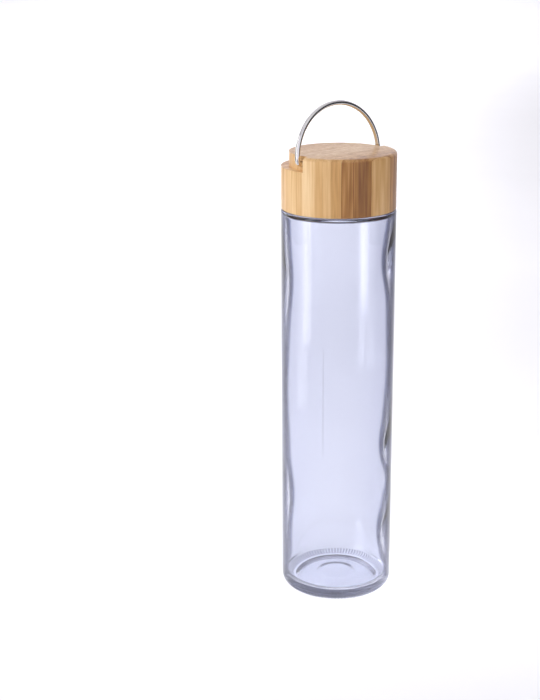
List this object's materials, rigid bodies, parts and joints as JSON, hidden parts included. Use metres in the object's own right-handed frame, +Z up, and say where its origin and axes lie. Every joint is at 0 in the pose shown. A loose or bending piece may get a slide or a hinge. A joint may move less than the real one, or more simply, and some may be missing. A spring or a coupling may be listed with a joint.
{
  "type": "glass water bottle",
  "caption": "Straight-sided clear glass water bottle with a screwed bamboo lid and a folding steel loop handle.",
  "frame": {"origin": "centre of the base, on the surface that the bottle stands on", "axes": "+Z up along the bottle's axis; X along the handle's pivot axis; +Y the side that the handle folds down to"},
  "size_m": [0.07, 0.07, 0.3115],
  "materials": {
    "clear_glass": "clear, faint cool tint, slightly wavy inner wall",
    "silicone": "translucent matt silicone",
    "bamboo": "laminated bamboo strips under a satin clear coat",
    "insert_plastic": "moulded natural polypropylene",
    "polished_steel": "polished stainless steel wire"
  },
  "bodies": {
    "bottle": {"glass_bottle": "clear_glass"},
    "seal": {"seal_ring": "silicone"},
    "lid": {"bamboo_lid": "bamboo", "lid_insert": "insert_plastic"},
    "handle": {"wire_handle": "polished_steel"}
  },
  "joints": [
    {"name": "lid_lift", "type": "slide", "parent": "bottle", "child": "seal", "axis": [0, 0, 1], "range_m": [0, 0.0151]},
    {"name": "lid_turn", "type": "hinge", "parent": "seal", "child": "lid", "pos_m": [0, 0, 0.2475], "axis": [0, 0, 1], "range_deg": [0, 1080]},
    {"name": "handle_fold", "type": "hinge", "parent": "lid", "child": "handle", "pos_m": [0, 0, 0.2772], "axis": [-1, 0, 0], "range_deg": [-40, 88]}
  ],
  "couplings": [
    {"joint": "lid_lift", "follows": "lid_turn", "m_per_rad": 0.00079577}
  ]
}
